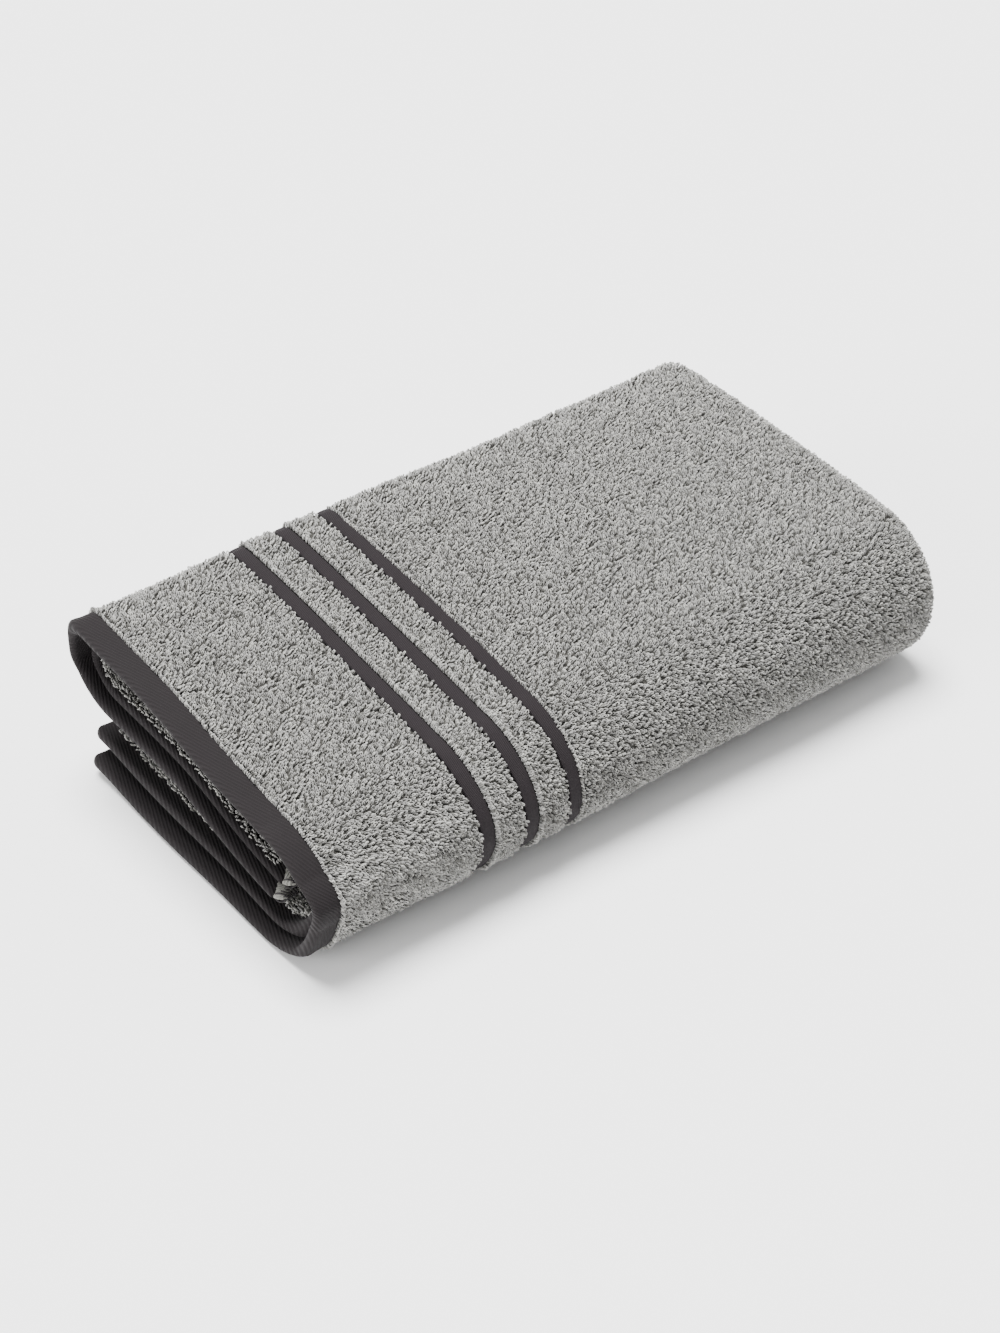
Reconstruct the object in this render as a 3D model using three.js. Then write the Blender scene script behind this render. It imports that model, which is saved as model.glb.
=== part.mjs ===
// A folded terry towel with a dark twill hem and three dark flat stripes.
// Millimetres, +Z up. X runs from the hem end to the fold end, Y from the front fold to the back fold.
//
// The cloth is folded in half along its length, its closed end is tucked back inside, and the
// package is then folded in thirds across its width. Every section of the cloth follows one
// fold path in the YZ plane: bottom third, front fold, top third, back fold, middle third.
import * as THREE from 'three';

// Overall size of the folded towel.
const LENGTH = 300;
const WIDTH = 160;
const FRONT_SETTLE = 0.8; // how far the front fold is pressed down, as a share of the height

// Cloth.
const PLY_PITCH = 5.5; // one layer of cloth and the gap to the next
const PLY_GAP = 0.45;
const PLIES_PER_THIRD = 4; // outer half, inner half and the two layers of the tucked end
const FOLD_SLACK = 1; // room inside the back fold, as a radius

// Sections of the cloth along X.
const HEM_WIDTH = 11;
const THREAD_WIDTH = 0.5;
const STRIPE_START = 71.5;
const STRIPE_WIDTH = 6;
const STRIPE_PITCH = 20;
const STRIPE_COUNT = 3;
const SEAM_GAP = 0.35;
const TUCK_CLEARANCE = 3; // between the last stripe and the tucked end

// Sections along the fold path.
const SIDE_HEM_WIDTH = 8;
const LOWER_EDGE_INSET = 9; // the bottom third's free edge stops this far inside the back fold
const CORNER_HEM_START = 0.6; // at the inner corner the side hem covers the end of the dark hem
const INNER_EDGE_INSET = 3; // the middle third stops this far short of the front fold's curve

// How far each kind of cloth lies below the full pile height, on both faces.
const TERRY_SINK = 0;
const HEM_SINK = 0.4;
const STRIPE_SINK = 1.1;
const THREAD_SINK = 0.8;
const SIDE_HEM_SINK = 0.5;

// Slanted stitches over the end of the hem at the inner corner.
const CORNER_STITCHES = 4;
const CORNER_START = 2;
const CORNER_PITCH = 1.3; // half a stitch along X
const CORNER_SINK = 0.9; // the stitches stop this far inside the cloth's faces
const CORNER_THREAD_RADIUS = 0.35;
const CORNER_CLEARANCE = 0.75; // from the cloth's edge to the middle of the thread

// Mesh detail.
const FOLD_STEPS = 12;
const MERGE_DISTANCE = 0.5; // stops nearer than this to an end of the cloth are left out
const TURN_POINTS = 6;
const TIGHT_TURN_POINTS = 4;
const CORNER_STEPS = 6;
const CORNER_THREAD_SIDES = 3;

// Derived sizes.
const PLY = PLY_PITCH - PLY_GAP;
const THIRD = PLIES_PER_THIRD * PLY_PITCH;
const BACK_RADIUS = THIRD + FOLD_SLACK;
const HEIGHT = 2 * BACK_RADIUS + THIRD;
const FRONT_RADIUS = HEIGHT / 2;
const LOWER_EDGE = WIDTH - LOWER_EDGE_INSET;
const INNER_EDGE = FRONT_RADIUS + INNER_EDGE_INSET;
const BACK_CENTRE = WIDTH - BACK_RADIUS;
const STRIPES_END = STRIPE_START + (STRIPE_COUNT - 1) * STRIPE_PITCH + STRIPE_WIDTH;
const FIELD_START = STRIPES_END + SEAM_GAP;
const TUCK_END = FIELD_START + TUCK_CLEARANCE;
const THREAD_START = HEM_WIDTH + SEAM_GAP;
const BORDER_START = THREAD_START + THREAD_WIDTH + SEAM_GAP;

// The outer face of the cloth as one curve, measured by arc length.
const QUARTER_TURN = Math.PI / 2;
const BACK_FOLD_HEIGHT = HEIGHT - BACK_RADIUS;
const PIECES = [
  straight(LOWER_EDGE, FRONT_RADIUS, 0),
  fold(FRONT_RADIUS, FRONT_RADIUS, FRONT_RADIUS, -QUARTER_TURN),
  straight(FRONT_RADIUS, BACK_CENTRE, HEIGHT),
  fold(BACK_CENTRE, BACK_FOLD_HEIGHT, BACK_RADIUS, QUARTER_TURN),
  straight(BACK_CENTRE, INNER_EDGE, HEIGHT - 2 * BACK_RADIUS),
];
const PATH_LENGTH = PIECES.reduce((sum, piece) => sum + piece.length, 0);
const TERRY_FROM = SIDE_HEM_WIDTH + THREAD_WIDTH + 2 * SEAM_GAP;
const TERRY_TO = PATH_LENGTH - TERRY_FROM;

// A level piece of the path between two Y positions at one height.
function straight(from, to, height) {
  return { length: Math.abs(to - from), from: [from, height], way: Math.sign(to - from) };
}

// Half a turn of the path, clockwise as seen from +X, about a centre in the YZ plane.
function fold(y, z, radius, start) {
  return { length: Math.PI * radius, centre: [y, z], radius, start };
}

// A point of the outer face at arc length s.
function facePoint(s) {
  let left = s;
  let index = 0;
  while (index < PIECES.length - 1 && left > PIECES[index].length) {
    left -= PIECES[index].length;
    index += 1;
  }
  const piece = PIECES[index];
  if (piece.from) {
    return new THREE.Vector3(0, piece.from[0] + piece.way * left, piece.from[1]);
  }
  const angle = piece.start - left / piece.radius;
  const y = piece.centre[0] + piece.radius * Math.cos(angle);
  const z = piece.centre[1] + piece.radius * Math.sin(angle);
  return new THREE.Vector3(0, y, z);
}

// Arc lengths at which the cloth is drawn between two positions: the ends, the joins between
// pieces of the path, and even steps round each fold.
function stopsBetween(from, to) {
  const stops = [from];
  let start = 0;
  for (const piece of PIECES) {
    const count = piece.centre ? FOLD_STEPS : 1;
    for (let i = 1; i <= count; i += 1) {
      const s = start + (piece.length * i) / count;
      if (s > from + MERGE_DISTANCE && s < to - MERGE_DISTANCE) stops.push(s);
    }
    start += piece.length;
  }
  stops.push(to);
  return stops;
}

// The part of the fold path between two arc lengths. A profile on it has its first axis along
// +X and its second axis pointing into the cloth.
class FoldPath extends THREE.Curve {
  constructor(from, to) {
    super();
    this.stops = stopsBetween(from, to);
    this.steps = this.stops.length - 1;
  }

  getPoint(t, target = new THREE.Vector3()) {
    const index = Math.min(Math.floor(t * this.steps), this.steps - 1);
    const share = t * this.steps - index;
    return target.copy(facePoint(THREE.MathUtils.lerp(this.stops[index], this.stops[index + 1], share)));
  }

  // Equal steps of the curve's parameter are equal steps through the stops.
  getUtoTmapping(u) {
    return u;
  }

  computeFrenetFrames(segments) {
    const frames = { tangents: [], normals: [], binormals: [] };
    for (let i = 0; i <= segments; i += 1) {
      const tangent = this.getTangentAt(i / segments);
      const along = new THREE.Vector3(1, 0, 0);
      frames.tangents.push(tangent);
      frames.normals.push(along);
      frames.binormals.push(new THREE.Vector3().crossVectors(tangent, along));
    }
    return frames;
  }
}

// A profile point: position along X and depth below the outer face.
function at(x, depth) {
  return new THREE.Vector2(x, depth);
}

// Points of a half turn about (x, depth) from the near side of the turn to its far side.
// towards is 1 for a turn that bulges to +X and -1 for one that bulges to -X; down is 1 when
// the turn goes from the shallow side to the deep side.
function halfTurn(x, depth, radius, towards, down, count) {
  const points = [];
  for (let i = 0; i <= count; i += 1) {
    const angle = (Math.PI * i) / count;
    points.push(at(x + towards * radius * Math.sin(angle), depth - down * radius * Math.cos(angle)));
  }
  return points;
}

// A flat strip of one layer between two X positions.
function stripProfile(from, to, layer, sink) {
  const top = layer * PLY_PITCH + sink;
  const bottom = layer * PLY_PITCH + PLY - sink;
  return new THREE.Shape([at(from, top), at(to, top), at(to, bottom), at(from, bottom)]);
}

// The hem: a flat strip whose hem-end edge is a rounded fold.
function hemProfile(layer) {
  const radius = PLY / 2 - HEM_SINK;
  const middle = layer * PLY_PITCH + PLY / 2;
  const edge = halfTurn(radius, middle, radius, -1, -1, TURN_POINTS);
  return new THREE.Shape([at(HEM_WIDTH, middle - radius), at(HEM_WIDTH, middle + radius), ...edge]);
}

// Both halves of the cloth from the given X, joined through the tucked end as one strip.
function tuckedProfile(from, sink) {
  const turn = 2 * PLY_PITCH - PLY_GAP / 2;
  const bend = LENGTH - turn;
  const tuckTurn = PLY_PITCH - PLY_GAP / 2;
  const tuck = TUCK_END + tuckTurn;
  const tuckDepth = 3 * PLY_PITCH - PLY_GAP / 2;
  const tight = PLY_GAP / 2 + sink;
  const points = [
    at(from, sink),
    ...halfTurn(bend, turn, turn - sink, 1, 1, TURN_POINTS + 2),
    ...halfTurn(tuck, tuckDepth, tuckTurn - sink, -1, -1, TURN_POINTS),
    ...halfTurn(bend, turn, tight, 1, -1, TIGHT_TURN_POINTS),
    at(from, 2 * PLY_PITCH - PLY_GAP - sink),
    at(from, PLY_PITCH + sink),
    ...halfTurn(bend, turn, tuckTurn - sink, 1, 1, TURN_POINTS),
    ...halfTurn(tuck, tuckDepth, tight, -1, 1, TIGHT_TURN_POINTS),
    ...halfTurn(bend, turn, turn - PLY + sink, 1, -1, TURN_POINTS),
    at(from, PLY - sink),
  ];
  return new THREE.Shape(points);
}

// The towel settles: its height shrinks evenly from the back fold to the front fold.
function settle(geometry) {
  const position = geometry.attributes.position;
  for (let i = 0; i < position.count; i += 1) {
    const reach = (position.getY(i) - FRONT_RADIUS) / (BACK_CENTRE - FRONT_RADIUS);
    const along = THREE.MathUtils.clamp(reach, 0, 1);
    position.setZ(i, position.getZ(i) * THREE.MathUtils.lerp(FRONT_SETTLE, 1, along));
  }
  position.needsUpdate = true;
  geometry.computeVertexNormals();
  return geometry;
}

// A profile carried along part of the fold path.
function sweep(profile, from, to) {
  const extrudePath = new FoldPath(from, to);
  const options = { extrudePath, steps: extrudePath.steps, bevelEnabled: false };
  return settle(new THREE.ExtrudeGeometry(profile, options));
}

const SLOTS = {
  terry: { color: 0xa3a29e, roughness: 0.95, metalness: 0 },
  stripe: { color: 0x433d40, roughness: 0.85, metalness: 0 },
  hem: { color: 0x474144, roughness: 0.8, metalness: 0 },
  side: { color: 0xb4b3ad, roughness: 0.85, metalness: 0 },
  thread: { color: 0x3a3638, roughness: 0.6, metalness: 0 },
  side_thread: { color: 0x9b9a94, roughness: 0.6, metalness: 0 },
};

const towel = new THREE.Group();
towel.name = 'folded_towel';

// Pieces are placed with the middle of the underside at the origin.
function add(name, geometry, slot) {
  geometry.translate(-LENGTH / 2, -WIDTH / 2, 0);
  const mesh = new THREE.Mesh(geometry, new THREE.MeshStandardMaterial(SLOTS[slot]));
  mesh.name = name;
  towel.add(mesh);
}

// Hem, stripes and terry bands of one half of the cloth.
function addBorder(half, layer) {
  add(`hem_${half}`, sweep(hemProfile(layer), 0, TERRY_TO), 'hem');
  const thread = stripProfile(THREAD_START, THREAD_START + THREAD_WIDTH, layer, THREAD_SINK);
  add(`hem_stitching_${half}`, sweep(thread, TERRY_FROM, TERRY_TO), 'thread');
  let start = BORDER_START;
  for (let i = 0; i < STRIPE_COUNT; i += 1) {
    const stripe = STRIPE_START + i * STRIPE_PITCH;
    const band = stripProfile(start, stripe - SEAM_GAP, layer, TERRY_SINK);
    const flat = stripProfile(stripe, stripe + STRIPE_WIDTH, layer, STRIPE_SINK);
    const bandName = i === 0 ? `terry_border_${half}` : `terry_band_${i}_${half}`;
    add(bandName, sweep(band, TERRY_FROM, TERRY_TO), 'terry');
    add(`stripe_${i + 1}_${half}`, sweep(flat, TERRY_FROM, TERRY_TO), 'stripe');
    start = stripe + STRIPE_WIDTH + SEAM_GAP;
  }
}

// The light side hem at one end of the fold path, and the row of stitches beside it.
function addSideHem(name, edge, inward, sideStart) {
  const range = (near, far) => (inward > 0 ? [edge + near, edge + far] : [edge - far, edge - near]);
  const [hemFrom, hemTo] = range(0, SIDE_HEM_WIDTH);
  const hem = tuckedProfile(sideStart, SIDE_HEM_SINK);
  add(`side_hem_${name}`, sweep(hem, hemFrom, hemTo), 'side');
  const threadNear = SIDE_HEM_WIDTH + SEAM_GAP;
  const [threadFrom, threadTo] = range(threadNear, threadNear + THREAD_WIDTH);
  const thread = tuckedProfile(BORDER_START, THREAD_SINK);
  add(`side_stitching_${name}`, sweep(thread, threadFrom, threadTo), 'side_thread');
}

// One thread that zigzags over the end of the hem at the inner corner of one half.
function addCornerStitching(half, layer) {
  const middle = HEIGHT - 2 * BACK_RADIUS + layer * PLY_PITCH + PLY / 2;
  const reach = PLY / 2 - CORNER_SINK;
  const points = [];
  for (let i = 0; i <= 2 * CORNER_STITCHES; i += 1) {
    const z = middle + (i % 2 === 0 ? -reach : reach);
    points.push(new THREE.Vector3(CORNER_START + i * CORNER_PITCH, INNER_EDGE - CORNER_CLEARANCE, z));
  }
  const extrudePath = new THREE.CatmullRomCurve3(points);
  const section = new THREE.Shape();
  section.absarc(0, 0, CORNER_THREAD_RADIUS, 0, 2 * Math.PI);
  const options = {
    extrudePath,
    steps: CORNER_STEPS * CORNER_STITCHES,
    curveSegments: CORNER_THREAD_SIDES,
    bevelEnabled: false,
  };
  add(`corner_stitching_${half}`, settle(new THREE.ExtrudeGeometry(section, options)), 'thread');
}

addBorder('outer', 0);
addBorder('inner', 1);
add('terry_field', sweep(tuckedProfile(FIELD_START, TERRY_SINK), TERRY_FROM, TERRY_TO), 'terry');
addSideHem('lower', 0, 1, BORDER_START);
addSideHem('middle', PATH_LENGTH, -1, CORNER_HEM_START);
addCornerStitching('outer', 0);
addCornerStitching('inner', 1);

export default towel;
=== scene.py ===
import math

import bpy
import numpy as np
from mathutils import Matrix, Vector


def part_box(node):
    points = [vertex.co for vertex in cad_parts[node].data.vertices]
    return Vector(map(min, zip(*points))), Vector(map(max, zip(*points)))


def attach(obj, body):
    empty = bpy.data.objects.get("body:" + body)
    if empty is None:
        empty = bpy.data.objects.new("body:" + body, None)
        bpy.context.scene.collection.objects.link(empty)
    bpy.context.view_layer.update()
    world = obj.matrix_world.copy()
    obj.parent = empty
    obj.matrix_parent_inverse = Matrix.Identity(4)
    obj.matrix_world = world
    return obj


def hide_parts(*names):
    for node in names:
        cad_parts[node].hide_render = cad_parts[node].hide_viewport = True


bl_info = {
    "name": "Folded Terry Towel",
    "version": (1, 0, 0),
    "blender": (4, 5, 0),
    "location": "3D View > Sidebar > Towel",
    "description": "Builds a folded terry towel with a dark twill hem and dark flat stripes",
    "category": "Object",
}

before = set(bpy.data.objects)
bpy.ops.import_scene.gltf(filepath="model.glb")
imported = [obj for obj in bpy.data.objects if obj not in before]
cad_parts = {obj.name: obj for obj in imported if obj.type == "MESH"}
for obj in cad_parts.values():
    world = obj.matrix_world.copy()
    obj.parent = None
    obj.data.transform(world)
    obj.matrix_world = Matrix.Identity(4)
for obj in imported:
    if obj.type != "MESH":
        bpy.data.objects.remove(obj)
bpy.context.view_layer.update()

MM = 0.001
BODY = "root"
HALVES = {"outer": 0, "inner": 1}
STRIPE_COUNT = 3

# Sizes that the packed model settles, with the gaps between its layers. The cloth is folded in
# half along X, and the package is folded in thirds across Y: bottom third, front fold, top
# third, back fold, middle third.
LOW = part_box("terry_field")[0]
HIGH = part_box("terry_field")[1]
HEM_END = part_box("hem_outer")[0].x
FOLD_END = HIGH.x
HEIGHT = HIGH.z
PLY_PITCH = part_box("stripe_1_outer")[1].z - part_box("stripe_1_inner")[1].z
PLY_GAP = 0.45 * MM
PLY = PLY_PITCH - PLY_GAP
PLIES_PER_THIRD = 4
THIRD = PLIES_PER_THIRD * PLY_PITCH
BACK_RADIUS = (HEIGHT - THIRD) / 2
FRONT_RADIUS = HEIGHT / 2
FRONT_CENTRE = LOW.y + FRONT_RADIUS
BACK_CENTRE = HIGH.y - BACK_RADIUS
LOWER_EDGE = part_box("side_hem_lower")[1].y
INNER_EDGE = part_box("side_hem_middle")[0].y
SIDE_HEM_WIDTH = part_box("side_hem_middle")[1].y - INNER_EDGE
STRIPES_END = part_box("stripe_3_outer")[1].x
TURN = 2 * PLY_PITCH - PLY_GAP / 2
BEND = FOLD_END - TURN
TUCK_GAP = 3.35 * MM

# How the cloth settles, with lengths along X from the hem end or along the fold path. Layers
# change from one third to the next over the blends. The free edge is the inner end of the path.
# The lift has one share for each of the heights in place().
FRONT_BLEND = 60 * MM
BACK_BLEND = 50 * MM
MIDDLE_BLEND = 40 * MM
SETBACK_REACH = 56 * MM
LIFT_SHARES = (0, 0.1, 1, 1, 0)
FREE_EDGE_REACH = 55 * MM
FREE_EDGE_DROP = 0.8
FREE_EDGE_DRAW = 9 * MM
CURL = 2.5 * MM
CURL_REACH = 35 * MM
INNER_SHIFT = 0.6
CORNER_RADIUS = 4 * MM
CORNER_REACH = 9 * MM
FOLD_END_DRAW = 2.5 * MM
FOLD_END_REACH = 60 * MM
BULGE_POWER = 1.5
RIPPLE_CLEARANCE = 20 * MM
RAGGED_REACH = 40 * MM
RAGGED_MEAN = 1.6

# Slow waves. Each has its share of the height, its radians per metre along two ways, and the
# angle at which it starts.
UP_WAVES = ((1.0, 41, 23, 0.7), (0.6, -29, 67, 2.1), (0.5, 97, 0, 1.3))
SIDE_WAVES = ((1.0, 37, 51, 0.4), (0.5, 83, -60, 0.0))
RAGGED_WAVES = ((0.6, 38, 0, 1.1), (0.4, 91, 0, 0.0))
CLUMP_WAVES = ((1.0, 330, 210, 0.0), (1.0, -250, 390, 1.7), (0.7, 610, 540, 0.0))

# How far apart the points of each cloth are: along the section, and in rows on the fold path.
BAND_STEP = 2.4 * MM
STRIPE_STEP = 0.8 * MM
STRIP_ROWS = 2.4 * MM
FIELD_STEP = 3.4 * MM
FIELD_ROWS = 2.8 * MM
HEM_ROWS = 1.2 * MM
SIDE_STEP = 2.6 * MM
SIDE_ROWS = 0.8 * MM
PILE_STEP = 0.8 * MM
FIELD_PILE_STEP = 2 * MM
SIDE_STITCH_STEP = 1 * MM

# Depths below the packed model's faces, and how far the middle of a strip swells.
STRIPE_SINK = 1.1 * MM
HEM_SINK = 0.4 * MM
SIDE_SINK = 0.5 * MM
BAND_CROWN = 0.35 * MM
STRIPE_CROWN = 0.15 * MM
EDGE_ROUNDING = 0.35 * MM

# The hem: the flat part ends before the turned-in edge, which thins in two steps, and the welt
# over the rounded fold is a little thicker than the rest. The steps are in millimetres.
HEM_EDGE = 0.6 * MM
THINNING_PLACES = (0.3, 0.05)
THINNING_SHARES = (0.8, 0.3)
WELT_WIDTH = 3 * MM
WELT_STEP = 0.1
TIP = 3.4 * MM

# Stitches. The rise and the dip are in thread radii.
STITCH_PITCH = 3.2 * MM
STITCH_LENGTH = 2.6 * MM
STITCH_SINK = 0.8 * MM
STITCH_RISE = 1.2
STITCH_DIP = 0.9
STITCH_POINTS = 9
STITCH_SIDES = 6
THREAD_RADIUS = 0.26 * MM
SIDE_STITCH_GAP = 0.6 * MM
WHIP_TURNS = 7
WHIP_STEPS = 14
WHIP_SIDES = 8
WHIP_RADIUS = 0.3 * MM
WHIP_START = 0.25 * math.pi
WHIP_SINK = 0.35 * MM
WHIP_PAST_EDGE = 0.2 * MM
WHIP_FROM = 1.2 * MM
WHIP_TO = 0.4 * MM

# The pile. Ranges are shares of the usual size, jitters are shares of the pitch, the clearance
# is in yarn radii, and the shades' shares are in the order of loop_shades().
LOOP_POINTS = 6
LOOP_SIDES = 3
LOOPS_PER_PIECE = 6000
LOOP_ROOT = 0.35 * MM
LOOP_TURN = 0.6
JITTER = 0.35
ROW_JITTER = 0.3
CLUMPING = 0.45
HEIGHT_RANGE = (0.7, 1.2)
LEAN_RANGE = (0.45, 1.3)
WIDTH_RANGE = (0.8, 1.3)
YARN_RANGE = (0.85, 1.15)
SHADE_SHARES = (0.56, 0.24, 0.2)
FLOOR_CLEARANCE = 1.2
PILE_MARGIN = 0.3 * MM
PILE_SWELL = 0.2 * MM
HIDDEN_PITCH = 2 * MM
PAST_TURN = 6 * MM
SHOWING_EDGE = 8 * MM

# Where the pile meets a hem or a stripe: how far its first loops stand over it, the dense row
# there, and how the loops' lean eases in behind that row.
EDGE_COVER = 0.8 * MM
EDGE_PITCH = 0.85 * MM
EDGE_DEPTH = 0.35 * MM
EDGE_LEAN = 0.25
EDGE_EASE = 3.6 * MM
OUTER_OVERHANG = 1.9 * MM
MIDDLE_OVERHANG = 9.6 * MM
LOW_OVERHANG = 4.8 * MM
OVERHANG_LEAD = 30 * MM
HEM_CLIMB = 0.7 * MM
CLIMB_START = 0.5 * MM
CLIMB_LENGTH = 1 * MM

# The studio. The lights' directions point from the towel to the light.
FLOOR_HALF = 20.0
FLOOR_POINTS = 13
OVERHEAD_FROM = (0.05, 0.25, 1.0)
HEM_LIGHT_FROM = (-1.0, 0.05, 0.36)


def straight(start, end, height):
    """A level piece of the fold path between two Y positions."""
    return {"length": abs(end - start), "start": (start, height), "way": math.copysign(1, end - start)}


def fold(y, z, radius, start):
    """Half a turn of the fold path, clockwise as seen from +X."""
    return {"length": math.pi * radius, "centre": (y, z), "radius": radius, "start": start}


PATH = [
    straight(LOWER_EDGE, FRONT_CENTRE, 0),
    fold(FRONT_CENTRE, FRONT_RADIUS, FRONT_RADIUS, -math.pi / 2),
    straight(FRONT_CENTRE, BACK_CENTRE, HEIGHT),
    fold(BACK_CENTRE, HEIGHT - BACK_RADIUS, BACK_RADIUS, math.pi / 2),
    straight(BACK_CENTRE, INNER_EDGE, HEIGHT - 2 * BACK_RADIUS),
]
PATH_LENGTH = sum(piece["length"] for piece in PATH)
BOTTOM_LENGTH = PATH[0]["length"]
MIDDLE_START = PATH_LENGTH - PATH[-1]["length"]
TERRY_FROM = SIDE_HEM_WIDTH + 1.2 * MM
TERRY_TO = PATH_LENGTH - TERRY_FROM


def linear(hex_colour):
    """An sRGB hex colour as the linear RGB that Blender works in."""
    channels = [int(hex_colour[i:i + 2], 16) / 255 for i in (1, 3, 5)]
    return tuple(c / 12.92 if c <= 0.04045 else ((c + 0.055) / 1.055) ** 2.4 for c in channels)


class TowelShape(bpy.types.PropertyGroup):
    """How the folded cloth has settled."""
    settle_at_hem: bpy.props.FloatProperty(
        name="Settle at the hem",
        description="Height of the front fold's hem end as a share of the packed model's",
        default=0.75, min=0.5, max=1.0, subtype="FACTOR")
    settle_at_fold: bpy.props.FloatProperty(
        name="Settle at the fold",
        description="Height of the front fold's far end as a share of the packed model's",
        default=0.93, min=0.5, max=1.0, subtype="FACTOR")
    back_share: bpy.props.FloatProperty(
        name="Back height", description="Height of the back fold as a share of the packed model's",
        default=1.033, min=0.5, max=1.1, subtype="FACTOR")
    corner_power: bpy.props.FloatProperty(
        name="Back corner", description="Fullness of the back fold's top corner: 2 is round, more is squarer",
        default=9.0, min=2.0, max=12.0)
    hem_corner_power: bpy.props.FloatProperty(
        name="Back corner at the hem", description="Fullness of the same corner at the hem end",
        default=5.8, min=2.0, max=12.0)
    top_bulge: bpy.props.FloatProperty(
        name="Top bulge", description="How far the top third swells above its edges",
        default=2.6 * MM, unit="LENGTH", subtype="DISTANCE")
    ripple: bpy.props.FloatProperty(
        name="Ripple", description="Height of the slow waves in the cloth",
        default=0.7 * MM, unit="LENGTH", subtype="DISTANCE")
    middle_lift: bpy.props.FloatProperty(
        name="Middle lift", description="How far the middle third springs up at the hem end",
        default=11.9 * MM, unit="LENGTH", subtype="DISTANCE")
    inner_lift: bpy.props.FloatProperty(
        name="Inner lift", description="How far the inner half lifts off the outer half in the bottom third",
        default=4 * MM, unit="LENGTH", subtype="DISTANCE")
    top_setback: bpy.props.FloatProperty(
        name="Top set-back",
        description="How far the inner hem stops short of the outer one in the top third",
        default=6.5 * MM, unit="LENGTH", subtype="DISTANCE")
    low_setback: bpy.props.FloatProperty(
        name="Lower set-back",
        description="How far the inner hem stops short of the outer one in the other thirds",
        default=4 * MM, unit="LENGTH", subtype="DISTANCE")
    middle_setback: bpy.props.FloatProperty(
        name="Middle set-back", description="How far the middle third's hems stop short of the bottom one",
        default=2 * MM, unit="LENGTH", subtype="DISTANCE")


class TowelPile(bpy.types.PropertyGroup):
    """The loops of the terry pile."""
    pitch: bpy.props.FloatProperty(
        name="Pitch", description="Distance between neighbouring loops",
        default=1.22 * MM, unit="LENGTH", subtype="DISTANCE")
    height: bpy.props.FloatProperty(
        name="Height", description="Usual height of a loop above the ground cloth",
        default=1.7 * MM, unit="LENGTH", subtype="DISTANCE")
    lean: bpy.props.FloatProperty(
        name="Lean", description="Usual distance by which a loop leans over",
        default=1.2 * MM, unit="LENGTH", subtype="DISTANCE")
    half_width: bpy.props.FloatProperty(
        name="Half width", description="Half the distance between the two legs of a loop",
        default=0.42 * MM, unit="LENGTH", subtype="DISTANCE")
    yarn: bpy.props.FloatProperty(
        name="Yarn radius", description="Radius of the pile yarn",
        default=0.29 * MM, unit="LENGTH", subtype="DISTANCE")
    ground_sink: bpy.props.FloatProperty(
        name="Ground sink", description="Depth of the ground cloth below the pile's surface",
        default=1.5 * MM, unit="LENGTH", subtype="DISTANCE")
    seed: bpy.props.IntProperty(name="Seed", description="Start of the random sequence", default=7)


class TowelColours(bpy.types.PropertyGroup):
    """Yarn colours, as linear RGB worked out from sRGB hex values."""
    loop_mid: bpy.props.FloatVectorProperty(
        name="Loops, middle", description="Grey of most of the pile loops",
        default=linear("#8a8986"), subtype="COLOR", size=3)
    loop_light: bpy.props.FloatVectorProperty(
        name="Loops, light", description="Grey of the palest pile loops",
        default=linear("#a5a49f"), subtype="COLOR", size=3)
    loop_dark: bpy.props.FloatVectorProperty(
        name="Loops, dark", description="Grey of the darkest pile loops",
        default=linear("#6a6965"), subtype="COLOR", size=3)
    # Painted shade: the ground cloth's grey is darker than the loops' yarn, to stand for the shadow that
    # falls between the loops.
    ground: bpy.props.FloatVectorProperty(
        name="Ground cloth", description="Grey of the woven ground below the loops",
        default=linear("#3d3c39"), subtype="COLOR", size=3)
    hem: bpy.props.FloatVectorProperty(
        name="Hem", description="Charcoal of the twill hem",
        default=linear("#1b1819"), subtype="COLOR", size=3)
    stripe: bpy.props.FloatVectorProperty(
        name="Stripe", description="Charcoal of the flat stripes",
        default=linear("#1f1b1d"), subtype="COLOR", size=3)
    side_hem: bpy.props.FloatVectorProperty(
        name="Side hem", description="Pale grey of the side hems",
        default=linear("#7f7e79"), subtype="COLOR", size=3)
    dark_thread: bpy.props.FloatVectorProperty(
        name="Dark thread", description="Charcoal of the hem's sewing thread",
        default=linear("#1d191b"), subtype="COLOR", size=3)
    light_thread: bpy.props.FloatVectorProperty(
        name="Light thread", description="Grey of the side hems' sewing thread",
        default=linear("#6b6a66"), subtype="COLOR", size=3)
    floor: bpy.props.FloatVectorProperty(
        name="Floor", description="White of the studio floor",
        default=linear("#f7f7f7"), subtype="COLOR", size=3)


class TowelStudio(bpy.types.PropertyGroup):
    """Camera and light."""
    azimuth: bpy.props.FloatProperty(
        name="Azimuth", description="Direction of view about Z, from +Y",
        default=math.radians(-37.86), unit="ROTATION", subtype="ANGLE")
    elevation: bpy.props.FloatProperty(
        name="Elevation", description="Height of the camera above the horizon",
        default=math.radians(37.54), unit="ROTATION", subtype="ANGLE")
    distance: bpy.props.FloatProperty(
        name="Distance", description="From the camera to the point it looks at",
        default=1.106, unit="LENGTH", subtype="DISTANCE")
    lens: bpy.props.FloatProperty(
        name="Lens", description="Focal length in millimetres", default=75.6)
    target: bpy.props.FloatVectorProperty(
        name="Target", description="The point on the floor that the camera looks at",
        default=(0.0125, 0.0277, 0.0), unit="LENGTH", subtype="TRANSLATION", size=3)
    sun: bpy.props.FloatProperty(
        name="Overhead light", description="Strength of the wide light from above", default=9.9)
    sun_spread: bpy.props.FloatProperty(
        name="Spread", description="How wide the overhead light looks from the towel",
        default=math.radians(36), unit="ROTATION", subtype="ANGLE")
    surround: bpy.props.FloatProperty(
        name="Surround", description="Strength of the even white light from all round", default=0.8)
    hem_light: bpy.props.FloatProperty(
        name="Hem light", description="Strength of the low light that reaches in between the hems",
        default=3.1)


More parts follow.
